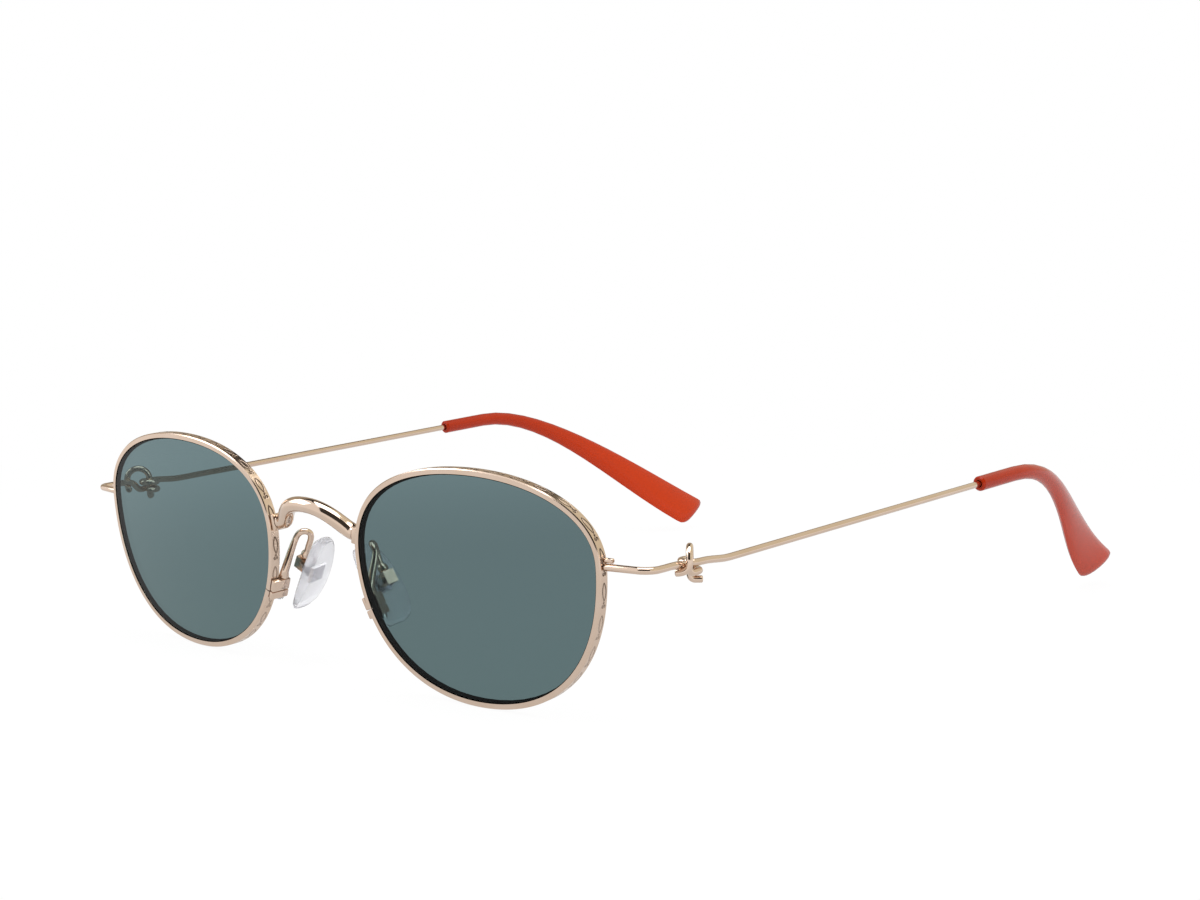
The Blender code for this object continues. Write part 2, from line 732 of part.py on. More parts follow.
def build_hinge_loop(hinge):
    touch = WIRE_D / 2 + PIN_D / 2 + BRAZE_GAP
    bar = Vector((EYE_RADIUS + touch, -LOOP_SET, 0))
    half = bar / 2
    radius = half.length
    up = Vector((0, 0, 1))
    spring = up * (LOOP_RISE - radius)
    heel = -up * FOOT_DROP
    # The foot lies under both eyes and keeps them on the pin
    toe = heel + Vector((1, 1, 0)).normalized() * PIN_FOOT
    places = [toe] + rounded_corner(toe, heel, spring, PIN_BEND)
    for step in range(EYE_STEPS + 1):
        angle = math.pi * step / EYE_STEPS
        places.append(half * (1 - math.cos(angle)) + spring + up * radius * math.sin(angle))
    # The bar passes the end piece wire and hooks in below it
    for step in range(1, BEND_STEPS + 1):
        angle = math.pi / 2 * step / BEND_STEPS
        sway = Vector((-LOOP_HOOK, -LOOP_SLANT, 0)) * (1 - math.cos(angle))
        places.append(bar + sway - up * touch * math.sin(angle))
    data = wire_data("left_hinge_loop", [hinge + place for place in places], PIN_D)
    return [add_part("left_hinge_loop", data, GOLD, ROOT)]


# Temple: a wire with an eye on the hinge pin, and a moulded tip

def temple_line(reach):
    """Place on the temple's straight stretch, in the hinge frame, at a distance behind the axis."""
    share = reach / TEMPLE_REACH
    return Vector((EYE_RADIUS - TEMPLE_TOE * share, reach, TEMPLE_RISE * share - TEMPLE_SAG))


def build_temple_wire(axis):
    places = eye_places(-EYE_TURN, 0)
    places.append(Vector((EYE_RADIUS, EYE_RADIUS + WIRE_D, 0)))
    places.append(temple_line(TEMPLE_SETTLE))
    places.append(temple_line(TEMPLE_REACH + CORE_LENGTH))
    return add_part("left_temple_wire", wire_data("left_temple_wire", places, WIRE_D), GOLD, axis)


def tip_path(table):
    """Centre places of the tip from its front end, with the share of its bent stretch at each."""
    bend = temple_line(TEMPLE_REACH + TIP_STRAIGHT)
    ahead = (bend - temple_line(0)).normalized()
    slope = math.radians(TIP_END_SLOPE)
    tuck = math.radians(TIP_END_TUCK)
    leave = Vector((-math.sin(tuck) * math.cos(slope), math.cos(tuck) * math.cos(slope), -math.sin(slope)))
    rest = TIP_END_WIDTH / 2 * math.cos(slope) * math.cos(math.radians(TIP_ROLL))
    end = Vector((bend.x - TIP_TUCK, bend.y + TIP_RUN, table + rest))
    places = []
    for reach in (0, TIP_ROUND, TIP_STRAIGHT / 2):
        places.append((temple_line(TEMPLE_REACH + reach), 0))
    for step in range(TIP_STEPS + 1):
        share = math.sin(math.pi / 2 * step / TIP_STEPS)
        pull_first = bend + ahead * TIP_START_PULL
        pull_last = end - leave * TIP_END_PULL
        places.append((bezier(bend, pull_first, pull_last, end, share), share))
    return places


def build_tip(axis, table):
    path = tip_path(table)
    last = path[-1][0]
    rings = []
    for index, (place, share) in enumerate(path):
        before = path[max(index - 1, 0)][0]
        after = path[min(index + 1, len(path) - 1)][0]
        along = (after - before).normalized()
        ease = share * share * (3 - 2 * share)
        roll = Matrix.Rotation(math.radians(TIP_ROLL) * ease, 3, along)
        side = roll @ along.cross(Vector((0, 0, 1))).normalized()
        up = side.cross(along)
        tall = (TIP_D + (TIP_END_WIDTH - TIP_D) * ease ** TIP_FLARE) / 2
        thick = (TIP_D + (TIP_END_THICK - TIP_D) * ease) / 2
        # The front end is a rounded collar, and the rear end is cut on a slant with rounded corners
        if index == 0:
            tall -= TIP_ROUND
            thick -= TIP_ROUND
        left = (last - place).length
        if left < TIP_END_ROUND:
            drawn = math.sqrt(1 - (1 - left / TIP_END_ROUND) ** 2)
            tall -= TIP_END_ROUND * (1 - drawn)
            thick *= TIP_EDGE_SHARE + (1 - TIP_EDGE_SHARE) * drawn
        edge = up + along * TIP_SLANT * ease
        ring = []
        for step in range(RING_SIDES):
            angle = 2 * math.pi * step / RING_SIDES
            ring.append(place + side * thick * math.cos(angle) + edge * tall * math.sin(angle))
        rings.append(ring)
    tip = add_part("left_temple_tip", loft_data("left_temple_tip", rings), TIP_ORANGE, axis)
    start = temple_line(TEMPLE_REACH - TIP_D)
    end = temple_line(TEMPLE_REACH + CORE_LENGTH + CORE_PLAY)
    bore = rod_data("tip_bore", start, end, WIRE_D + 2 * CORE_PLAY)
    boolean(tip, add_guide("tip_bore", bore, axis))
    return tip


# Assembly

def mirrored(item, parent):
    """The other side's copy of a piece, as its own mesh."""
    bpy.context.view_layer.update()
    graph = bpy.context.evaluated_depsgraph_get()
    data = bpy.data.meshes.new_from_object(item.evaluated_get(graph))
    data.transform(Matrix.Scale(-1, 4, (1, 0, 0)) @ item.matrix_world)
    data.transform(parent.matrix_world.inverted())
    shape = bmesh.new()
    shape.from_mesh(data)
    bmesh.ops.remove_doubles(shape, verts=shape.verts, dist=WELD * MM)
    bmesh.ops.recalc_face_normals(shape, faces=shape.faces)
    shape.to_mesh(data)
    shape.free()
    name = item.name.replace("left_", "right_")
    data.name = name
    copy = bpy.data.objects.new(name, data)
    PARTS.objects.link(copy)
    copy.parent = parent
    return copy


def corner_points(items):
    graph = bpy.context.evaluated_depsgraph_get()
    points = []
    for item in items:
        seen = item.evaluated_get(graph)
        data = seen.to_mesh()
        points += [item.matrix_world @ vertex.co for vertex in data.vertices]
        seen.to_mesh_clear()
    return points


ROOT = add_empty(NAME, None, Vector((0, 0, 0)))
HINGE = hinge_place()
TABLE = (LENS_FRAME @ rim_place(3, RIM_FACE, 0)).z
PAD_FRAME = pad_frame()

fixed = [build_rim(), build_lens()]
lock_pieces, ARM_ROOT, ARM_WAY = build_rim_lock()
fixed += lock_pieces
fixed += build_pad_holder(PAD_FRAME)
fixed.append(build_pad_arm(PAD_FRAME, ARM_ROOT, ARM_WAY))
fixed.append(build_bridge_lug())
fixed += build_end_piece(HINGE)
fixed += build_hinge_loop(HINGE)
build_bridge()

OTHER_SIDE = Vector((-1, 1, 1))
left_axis = add_empty("left_hinge_axis", ROOT, HINGE)
right_axis = add_empty("right_hinge_axis", ROOT, HINGE * OTHER_SIDE)
left_pivot = add_empty("left_pad_pivot", ROOT, PAD_FRAME.translation)
right_pivot = add_empty("right_pad_pivot", ROOT, PAD_FRAME.translation * OTHER_SIDE)
temple = [build_temple_wire(left_axis), build_tip(left_axis, TABLE - HINGE.z)]
pad = build_pad(PAD_FRAME, left_pivot)

for piece in fixed:
    mirrored(piece, ROOT)
for piece in temple:
    mirrored(piece, right_axis)
for piece in pad:
    mirrored(piece, right_pivot)

# The finished glasses stand on the origin's plane, with the origin in the middle of their footprint
bpy.context.view_layer.update()
solids = [item for item in PARTS.objects if item.type != "EMPTY"]
corners = corner_points(solids)
low = Vector([min(point[axis] for point in corners) for axis in range(3)])
high = Vector([max(point[axis] for point in corners) for axis in range(3)])
ROOT.location = Vector((-(low.x + high.x) / 2, -(low.y + high.y) / 2, -low.z))
bpy.context.view_layer.update()
for item in (left_axis, right_axis, left_pivot, right_pivot):
    print(item.name, [round(value, 6) for value in item.matrix_world.translation])
print("pad pivot way", [round(value, 6) for value in PAD_FRAME.to_3x3() @ Vector((0, 0, 1))])
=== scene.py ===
import math
import bmesh
import bpy
import numpy as np
from mathutils import Matrix, Vector


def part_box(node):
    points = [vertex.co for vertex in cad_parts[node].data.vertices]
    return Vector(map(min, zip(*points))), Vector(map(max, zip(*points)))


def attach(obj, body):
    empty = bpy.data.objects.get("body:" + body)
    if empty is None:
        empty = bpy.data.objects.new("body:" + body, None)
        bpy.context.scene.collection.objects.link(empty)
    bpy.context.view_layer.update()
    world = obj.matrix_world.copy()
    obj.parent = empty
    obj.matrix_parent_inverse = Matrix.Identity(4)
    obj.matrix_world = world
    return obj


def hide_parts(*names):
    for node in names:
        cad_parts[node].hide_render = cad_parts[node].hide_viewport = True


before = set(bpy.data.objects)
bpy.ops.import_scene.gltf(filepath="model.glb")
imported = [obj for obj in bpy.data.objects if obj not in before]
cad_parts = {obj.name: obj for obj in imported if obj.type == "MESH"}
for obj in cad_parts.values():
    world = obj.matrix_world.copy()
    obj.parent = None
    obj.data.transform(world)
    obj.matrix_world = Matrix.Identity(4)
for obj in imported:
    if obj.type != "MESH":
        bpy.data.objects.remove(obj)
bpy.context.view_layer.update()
MM = 0.001


# Rims
# Two wire rims of rose gold plated metal, rolled with a lens groove inside and closed at the rim lock.
# Their front face is polished, and their outer wall is engraved with a running leaf and curl.

WELD = 0.0005 * MM
PALE_GOLD = (0.760, 0.605, 0.505)
WARM_GOLD = (0.690, 0.520, 0.390)
GROOVE_SHADE_BROWN = (0.050, 0.026, 0.015)
RIM_ROUGHNESS = 0.12
RIM_SMOOTHING = 2
RIM_FLAT = math.radians(12)
RIM_CREASE = math.radians(30)
RIM_SAMPLES = 360
RIM_WINDOW = math.radians(4)
WALL_HALF = 0.85
WALL_OUTWARD = 0.9
WALL_ASKEW = 0.3
OFF_WALL = 5.0
LEAF_PITCH = 5.4
LEAF_MIDDLE = 2.95
LEAF_HALF = 1.55
LEAF_SWELL = 0.46
LEAF_SWAY = 0.10
CURL_MIDDLE = 0.55
CURL_RADIUS = 0.20
DOT_MIDDLE = 1.12
DOT_RADIUS = 0.10
CUT_WIDTH = 0.19
CUT_CORE = 0.35
CUT_DEPTH = 0.06 * MM
CUT_STRENGTH = 0.8
CUT_ROUGHNESS = 0.25
# How strongly the painted shade in the cuts shows, low and high on the frame
CUT_SHADE_FAINT = 0.35
CUT_SHADE_STRONG = 0.90
FAINT_BELOW = 13 * MM
STRONG_ABOVE = 25 * MM
CLOUD_DETAIL = 2.0
TONE_SCALE = 220.0
GRAIN_SCALE = 900.0
GRAIN_SHARE = 0.10


class Field:
    """One value of a shader: a socket whose arithmetic adds Math nodes to its material."""

    def __init__(self, tree, socket=None):
        self.tree = tree
        self.socket = socket

    def node(self, kind, settings, sockets, output=0):
        """Adds a node, sets it up, fills its sockets, and gives one of its outputs."""
        made = self.tree.nodes.new("ShaderNode" + kind)
        for name, value in settings.items():
            setattr(made, name, value)
        for name, value in sockets.items():
            self.fill(made.inputs[name], value)
        return Field(self.tree, made.outputs[output])

    def fill(self, socket, value):
        if isinstance(value, Field):
            self.tree.links.new(value.socket, socket)
        elif isinstance(value, tuple) and len(value) < len(socket.default_value):
            socket.default_value = (*value, 1.0)
        else:
            socket.default_value = value

    def math(self, operation, *values):
        return self.node("Math", {"operation": operation}, dict(enumerate(values)))

    def __add__(self, other):
        return self.math("ADD", self, other)

    def __radd__(self, other):
        return self.math("ADD", other, self)

    def __sub__(self, other):
        return self.math("SUBTRACT", self, other)

    def __rsub__(self, other):
        return self.math("SUBTRACT", other, self)

    def __mul__(self, other):
        return self.math("MULTIPLY", self, other)

    def __rmul__(self, other):
        return self.math("MULTIPLY", other, self)

    def __truediv__(self, other):
        return self.math("DIVIDE", self, other)

    def __rtruediv__(self, other):
        return self.math("DIVIDE", other, self)

    def __abs__(self):
        return self.math("ABSOLUTE", self)

    def at_most(self, other):
        return self.math("MINIMUM", self, other)

    def at_least(self, other):
        return self.math("MAXIMUM", self, other)

    def below(self, limit):
        return self.math("LESS_THAN", self, limit)

    def above(self, limit):
        return self.math("GREATER_THAN", self, limit)

    def root(self):
        return self.math("SQRT", self)

    def output(self, name):
        """Another output of the node that made this value."""
        return Field(self.tree, self.socket.node.outputs[name])

    def fade(self, start, end):
        """1 at start, 0 at end, eased between them."""
        return self.node(
            "MapRange", {"interpolation_type": "SMOOTHSTEP"},
            {"Value": self, "From Min": start, "From Max": end, "To Min": 1.0, "To Max": 0.0},
        )

    def mix(self, first, last):
        """From the first colour to the last by this value."""
        return self.node(
            "Mix", {"data_type": "RGBA"}, {"Factor": self, 6: first, 7: last}, 2,
        )


def new_finish(name, **fixed):
    """A material with one Principled shader, whose constant sockets are given."""
    finish = bpy.data.materials.new(name)
    finish.use_nodes = True
    tree = finish.node_tree
    shader = tree.nodes["Principled BSDF"]
    field = Field(tree)
    for socket, value in fixed.items():
        field.fill(shader.inputs[socket.replace("_", " ")], value)
    return finish, field, shader.inputs


def object_place(field):
    return field.node("TexCoord", {}, {}, "Object")


def cloud(field, scale, detail=CLOUD_DETAIL):
    """Soft noise over the piece."""
    sockets = {"Vector": object_place(field), "Scale": scale, "Detail": detail}
    return field.node("TexNoise", {}, sockets, "Fac")


def engraved_gold():
    """Rose gold with the leaf and curl cut in where the rim's own UV map says that its wall is, and painted
    shade in the cuts that grows towards the top.
    """
    finish, field, sockets = new_finish("engraved_gold", Metallic=1.0)
    uv = field.node("UVMap", {"uv_map": "wall"}, {})
    split = field.node("SeparateXYZ", {}, {"Vector": uv})
    run = split.output("X")
    height = split.output("Y")
    along = run.math("FLOORED_MODULO", run, LEAF_PITCH)

    def from_point(middle, level):
        step = along - middle
        rise = height - level
        return (step * step + rise * rise).root()

    reach = (along - LEAF_MIDDLE) / LEAF_HALF
    swell = (1.0 - reach * reach) * LEAF_SWELL
    spine = reach * LEAF_SWAY
    leaf = abs(abs(height - spine) - swell) + swell.below(0.0)
    upper = abs(from_point(CURL_MIDDLE, CURL_RADIUS) - CURL_RADIUS)
    upper = upper + along.above(CURL_MIDDLE) * height.below(CURL_RADIUS)
    lower = abs(from_point(CURL_MIDDLE, -CURL_RADIUS) - CURL_RADIUS)
    lower = lower + along.below(CURL_MIDDLE) * height.above(-CURL_RADIUS)
    dot = from_point(DOT_MIDDLE, 0.0) - DOT_RADIUS
    nearest = leaf.at_most(upper).at_most(lower).at_most(dot)
    cut = nearest.fade(CUT_WIDTH * CUT_CORE, CUT_WIDTH)
    shade = cloud(field, TONE_SCALE)
    metal = shade.mix(PALE_GOLD, WARM_GOLD)
    level = field.node("SeparateXYZ", {}, {"Vector": object_place(field)}).output("Z")
    # Painted shade: the cuts are painted dark brown for the shade in their grooves, faint low on the frame
    # and strong towards its top
    groove_shade = CUT_SHADE_STRONG - level.fade(FAINT_BELOW, STRONG_ABOVE) * (CUT_SHADE_STRONG - CUT_SHADE_FAINT)
    field.fill(sockets["Base Color"], (cut * groove_shade).mix(metal, GROOVE_SHADE_BROWN))
    grain = cloud(field, GRAIN_SCALE)
    field.fill(sockets["Roughness"], RIM_ROUGHNESS + grain * GRAIN_SHARE + cut * CUT_ROUGHNESS)
    dent = {"Strength": CUT_STRENGTH, "Distance": CUT_DEPTH, "Height": 1.0 - cut}
    field.fill(sockets["Normal"], field.node("Bump", {}, dent))
    return finish


def merged_copy(node):
    """A CAD node's shape with its loose triangles joined."""
    shell = bmesh.new()
    shell.from_mesh(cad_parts[node].data)
    bmesh.ops.remove_doubles(shell, verts=shell.verts[:], dist=WELD)
    return shell


def join_quads(shell, limit):
    bmesh.ops.join_triangles(
        shell, faces=shell.faces[:],
        angle_face_threshold=limit, angle_shape_threshold=math.pi,
    )


def set_piece(name, shell, finishes, body, node):
    """Makes the shell an object in the place of a CAD node, and lets it ride on its body."""
    data = bpy.data.meshes.new(name)
    shell.to_mesh(data)
    shell.free()
    for finish in finishes:
        data.materials.append(finish)
    piece = bpy.data.objects.new(name, data)
    bpy.context.scene.collection.objects.link(piece)
    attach(piece, body)
    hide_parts(node)
    return piece


def soften(shell, limit):
    """Smooth shading that stays sharp on edges steeper than the limit."""
    for face in shell.faces:
        face.smooth = True
    for edge in shell.edges:
        edge.smooth = edge.calc_face_angle(0.0) < limit


def box_middle(node):
    low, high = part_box(node)
    return (Vector(low) + Vector(high)) / 2


def wall_map(shell, seam):
    """Adds the UV map of the outer wall: millimetres along the rim from its seam, and across the wall."""
    places = np.array([vert.co[:] for vert in shell.verts])
    middle = (places.min(axis=0) + places.max(axis=0)) / 2
    # The rim lies in a plane, whose axis points to the front
    axis = np.linalg.svd(places - places.mean(axis=0), full_matrices=False)[2][2]
    axis = axis if axis[1] < 0 else -axis
    upright = np.array((0, 0, 1)) - axis * axis[2]
    upright /= np.linalg.norm(upright)
    side = np.cross(upright, axis)
    start = np.array(seam) - middle
    zero = math.atan2(start @ upright, start @ side)

    def turn_of(place):
        arm = np.array(place) - middle
        return (math.atan2(arm @ upright, arm @ side) - zero) % math.tau

    # The length along the wall, whose place at each turn is the farthest one from the middle
    turns = np.array([turn_of(place) for place in places])
    radii = np.hypot((places - middle) @ upright, (places - middle) @ side)
    samples = np.linspace(0, math.tau, RIM_SAMPLES)
    outer = []
    for sample in samples:
        away = np.abs((turns - sample + math.pi) % math.tau - math.pi)
        outer.append(radii[away < RIM_WINDOW].max())
    outer = np.array(outer)
    steps = np.hypot(np.diff(outer), outer[1:] * np.diff(samples))
    length = np.concatenate(([0.0], np.cumsum(steps)))
    layer = shell.loops.layers.uv.new("wall")
    for face in shell.faces:
        heart = np.array(face.calc_center_median()) - middle
        heart = heart - axis * (heart @ axis)
        outward = heart / np.linalg.norm(heart)
        normal = np.array(face.normal)
        turn = turn_of(face.calc_center_median())
        wall = normal @ outward > WALL_OUTWARD and abs(normal @ axis) < WALL_ASKEW
        depth = np.array(face.calc_center_median()) @ axis
        for loop in face.loops:
            across = OFF_WALL
            if wall:
                across = math.copysign(WALL_HALF, np.array(loop.vert.co) @ axis - depth)
            run = np.interp(turn_of(loop.vert.co), samples, length) / MM
            loop[layer].uv = (run, across)


RIM_GOLD = engraved_gold()
for side in ("left", "right"):
    node = side + "_rim"
    shell = merged_copy(node)
    join_quads(shell, RIM_FLAT)
    soften(shell, RIM_CREASE)
    crease = shell.edges.layers.float.new("crease_edge")
    for edge in shell.edges:
        edge[crease] = 0.0 if edge.smooth else 1.0
    seam = (box_middle(side + "_lock_upper") + box_middle(side + "_lock_lower")) / 2
    wall_map(shell, seam)
    piece = set_piece(side + "_engraved_rim", shell, [RIM_GOLD], "front", node)
    smoother = piece.modifiers.new("rolled", "SUBSURF")
    smoother.levels = RIM_SMOOTHING
    smoother.render_levels = RIM_SMOOTHING


# Lenses
# Two flat-curved tinted lenses of cast resin, green grey and clear to look through. They are cut to the
# rims' outline and held in the groove; their edge and a strip round the rear face carry painted black
# shade.

LENS_TOP = (0.143, 0.213, 0.225)
LENS_FOOT = (0.140, 0.214, 0.220)
LENS_FADE = 38 * MM
LENS_MOTTLE_SCALE = 40.0
LENS_MOTTLE = 0.1
LENS_HAZE_SCALE = 120.0
LENS_HAZE = 0.02
LENS_IOR = 1.2
LENS_FLAT = math.radians(5)
LENS_CREASE = math.radians(25)
FRONT_FACING = 0.9
FACE_FACING = 0.8
SHADE_STRIP = 0.22 * MM
EDGE_SHADE_BLACK = (0.006, 0.007, 0.007)
EDGE_SHADE_PALE = (0.012, 0.013, 0.013)
EDGE_SCALE = 800.0
EDGE_ROUGHNESS = 0.45
EDGE_GRAIN_SCALE = 1500.0
EDGE_GRAIN = 0.2


def tinted_resin():
    """Tinted resin, whose coat against glare is a low index of refraction."""
    finish, field, sockets = new_finish("tinted_resin", IOR=LENS_IOR, Transmission_Weight=1.0)
    split = field.node("SeparateXYZ", {}, {"Vector": object_place(field)})
    level = split.output("Z")
    tint = level / LENS_FADE + cloud(field, LENS_MOTTLE_SCALE) * LENS_MOTTLE - LENS_MOTTLE / 2
    field.fill(sockets["Base Color"], tint.mix(LENS_FOOT, LENS_TOP))
    field.fill(sockets["Roughness"], cloud(field, LENS_HAZE_SCALE) * LENS_HAZE)
    return finish


# Painted shade: near-black paint with random tone, put on the lens edge for the shade in the rim's groove
def painted_edge_shade():
    finish, field, sockets = new_finish("painted_edge_shade", Specular_IOR_Level=0.0)
    field.fill(sockets["Base Color"], cloud(field, EDGE_SCALE).mix(EDGE_SHADE_BLACK, EDGE_SHADE_PALE))
    field.fill(sockets["Roughness"], EDGE_ROUGHNESS + cloud(field, EDGE_GRAIN_SCALE) * EDGE_GRAIN)
    return finish


LENS_RESIN = tinted_resin()
LENS_EDGE_SHADE = painted_edge_shade()
for side in ("left", "right"):
    node = side + "_lens"
    shell = merged_copy(node)
    join_quads(shell, LENS_FLAT)
    soften(shell, LENS_CREASE)
    front = [face for face in shell.faces if face.normal.y < -FRONT_FACING]
    axis = sum((face.normal * face.calc_area() for face in front), Vector()).normalized()
    # Painted shade: the edge faces take the black edge material, the broad faces the resin
    for face in shell.faces:
        face.material_index = 0 if abs(face.normal.dot(axis)) > FACE_FACING else 1
    # Painted shade: a narrow black strip round the rear face stands for the shade in the rim's groove
    rear = [face for face in shell.faces if face.normal.dot(axis) < -FACE_FACING]
    shade_strip = bmesh.ops.inset_region(shell, faces=rear, thickness=SHADE_STRIP, use_even_offset=True)["faces"]
    for face in shade_strip:
        face.material_index = 1
    set_piece(side + "_tinted_lens", shell, [LENS_RESIN, LENS_EDGE_SHADE], "front", node)


# Rim locks and bridge lugs
# A split block of milled metal closes each rim on its lens with one screw from below. The lugs that carry
# the bridge are brazed to the rims, and all of it is plated rose gold.

SATIN_ROUGHNESS = 0.20
PLATING_SCALE = 180.0
PLATING_GLOSS = 0.8
WEAR_SCALE = 700.0
WEAR_DETAIL = 3.0
WEAR_SHARE = 0.5
RIPPLE_SCALE = 420.0
RIPPLE_STRENGTH = 0.15
RIPPLE_DEPTH = 0.02 * MM
MILLED_CREASE = math.radians(32)
SCREW_PALE = (0.62, 0.60, 0.58)
SCREW_DEEP = (0.48, 0.46, 0.45)
SCREW_ROUGHNESS = 0.22


def plated(name, roughness, tone, deep):
    """Plated metal with faint clouds in its colour and fine wear in its gloss."""
    finish, field, sockets = new_finish(name, Metallic=1.0)
    field.fill(sockets["Base Color"], cloud(field, PLATING_SCALE).mix(tone, deep))
    wear = cloud(field, WEAR_SCALE, WEAR_DETAIL)
    field.fill(sockets["Roughness"], roughness * PLATING_GLOSS + wear * roughness * WEAR_SHARE)
    ripple = {"Strength": RIPPLE_STRENGTH, "Distance": RIPPLE_DEPTH, "Height": cloud(field, RIPPLE_SCALE)}
    field.fill(sockets["Normal"], field.node("Bump", {}, ripple))
    return finish


def milled(name, node, finish, body):
    """A small milled piece: the CAD shape with its steep edges left crisp."""
    shell = merged_copy(node)
    soften(shell, MILLED_CREASE)
    return set_piece(name, shell, [finish], body, node)


SATIN_GOLD = plated("satin_gold", SATIN_ROUGHNESS, PALE_GOLD, WARM_GOLD)
SCREW_STEEL = plated("screw_steel", SCREW_ROUGHNESS, SCREW_PALE, SCREW_DEEP)
for side in ("left", "right"):
    milled(side + "_lock_block", side + "_lock_upper", SATIN_GOLD, "front")
    milled(side + "_lock_foot", side + "_lock_lower", SATIN_GOLD, "front")
    milled(side + "_closing_screw", side + "_lock_screw", SCREW_STEEL, "front")
    milled(side + "_brazed_lug", side + "_bridge_lug", SATIN_GOLD, "front")


# Bridge
# One polished bar of plated metal, bent to an arch and a little thinner at its crown, joins the two lugs
# and is brazed to them.

POLISH = 0.09
WIRE_SIDES = 24
CAP_ANGLE = math.radians(60)
BEND_LIMIT = math.radians(3)
BEND_CUTS = 4
END_ROUND = 0.38
END_SEGMENTS = 4
WIRE_CREASE = math.radians(50)


def wire_run(node):
    """Centres and radii of the rings of a CAD wire, from one end to the other."""
    shell = merged_copy(node)
    rims = [edge for edge in shell.edges if edge.calc_face_angle(0.0) > CAP_ANGLE]
    # The steep edges round one end are the first ring, and each next ring lies one edge further on
    ring = {rims[0].verts[0]}
    while True:
        wider = ring | {vert for edge in rims if ring & set(edge.verts) for vert in edge.verts}
        if wider == ring:
            break
        ring = wider
    seen = set(ring)
    run = []
    while ring:
        places = [vert.co for vert in shell.verts if vert in ring]
        centre = sum(places, Vector()) / len(places)
        radius = sum((place - centre).length for place in places) / len(places)
        run.append((centre, radius))
        ring = {edge.other_vert(vert) for vert in ring for edge in vert.link_edges} - seen
        seen |= ring
    shell.free()
    return run


def eased(run):
    """The run with more places where it bends, on a smooth curve through the given ones."""
    first = (run[0][0] * 2 - run[1][0], run[0][1])
    last = (run[-1][0] * 2 - run[-2][0], run[-1][1])
    chain = [first] + run + [last]
    places = []
    for before, start, end, after in zip(chain, chain[1:], chain[2:], chain[3:]):
        step = end[0] - start[0]
        pull = step.length / 3
        lead = (end[0] - before[0]).normalized() * pull
        trail = (after[0] - start[0]).normalized() * pull
        bent = max(step.angle(lead, 0.0), step.angle(trail, 0.0)) > BEND_LIMIT
        cuts = BEND_CUTS if bent else 1
        for cut in range(cuts):
            share = cut / cuts
            rest = 1 - share
            centre = start[0] * rest ** 3 + (start[0] + lead) * 3 * rest ** 2 * share
            centre += (end[0] - trail) * 3 * rest * share ** 2 + end[0] * share ** 3
            places.append((centre, start[1] * rest + end[1] * share))
    return places + [run[-1]]


def drawn_wire(run):
    """A round wire swept along the run, with rounded ends."""
    wire = bmesh.new()
    centres = [place[0] for place in run]
    widths = [place[1] for place in run]
    heading = (centres[1] - centres[0]).normalized()
    stand = heading.to_track_quat("Z", "Y").to_matrix().to_4x4()
    bmesh.ops.create_circle(
        wire, segments=WIRE_SIDES, radius=widths[0], matrix=Matrix.Translation(centres[0]) @ stand,
    )
    loop = wire.edges[:]
    ends = [loop]
    for index in range(1, len(run)):
        following = centres[min(index + 1, len(run) - 1)] - centres[index - 1]
        swing = heading.rotation_difference(following).to_matrix().to_4x4()
        heading = following.normalized()
        grown = bmesh.ops.extrude_edge_only(wire, edges=loop)["geom"]
        ring = [part for part in grown if isinstance(part, bmesh.types.BMVert)]
        loop = [part for part in grown if isinstance(part, bmesh.types.BMEdge)]
        swell = Matrix.Scale(widths[index] / widths[index - 1], 4)
        move = Matrix.Translation(centres[index]) @ swing @ swell @ Matrix.Translation(-centres[index - 1])
        bmesh.ops.transform(wire, matrix=move, verts=ring)
    ends.append(loop)
    for loop in ends:
        bmesh.ops.contextual_create(wire, geom=loop)
    bmesh.ops.recalc_face_normals(wire, faces=wire.faces[:])
    bmesh.ops.bevel(
        wire, geom=ends[0] + ends[1], offset=END_ROUND * min(widths[0], widths[-1]), affect="EDGES",
        segments=END_SEGMENTS, profile=0.5, material=-1,
    )
    soften(wire, WIRE_CREASE)
    return wire


def bent_wire(name, node, finish, body):
    return set_piece(name, drawn_wire(eased(wire_run(node))), [finish], body, node)


POLISHED_GOLD = plated("polished_gold", POLISH, PALE_GOLD, WARM_GOLD)
bent_wire("polished_bridge", "bridge", POLISHED_GOLD, "front")


# Nose pads
# Each clear silicone pad is moulded round a steel plate, whose tab turns on a screw in the box of its
# arm. The arm is a bent and tapered wire, brazed to the rim lock.

SILICONE = (0.92, 0.92, 0.96)
SILICONE_PALE = (0.95, 0.95, 0.97)
SILICONE_SCALE = 260.0
SILICONE_ROUGHNESS = 0.13
SILICONE_HAZE_SCALE = 500.0
SILICONE_HAZE = 0.08
SILICONE_IOR = 1.25
SILICONE_CLARITY = 0.8
PLATE_PALE = (0.38, 0.37, 0.42)
PLATE_DEEP = (0.28, 0.27, 0.31)
PLATE_ROUGHNESS = 0.25


def clear_silicone():
    finish, field, sockets = new_finish(
        "clear_silicone", IOR=SILICONE_IOR, Transmission_Weight=SILICONE_CLARITY,
    )
    field.fill(sockets["Base Color"], cloud(field, SILICONE_SCALE).mix(SILICONE, SILICONE_PALE))
    field.fill(sockets["Roughness"], SILICONE_ROUGHNESS + cloud(field, SILICONE_HAZE_SCALE) * SILICONE_HAZE)
    return finish


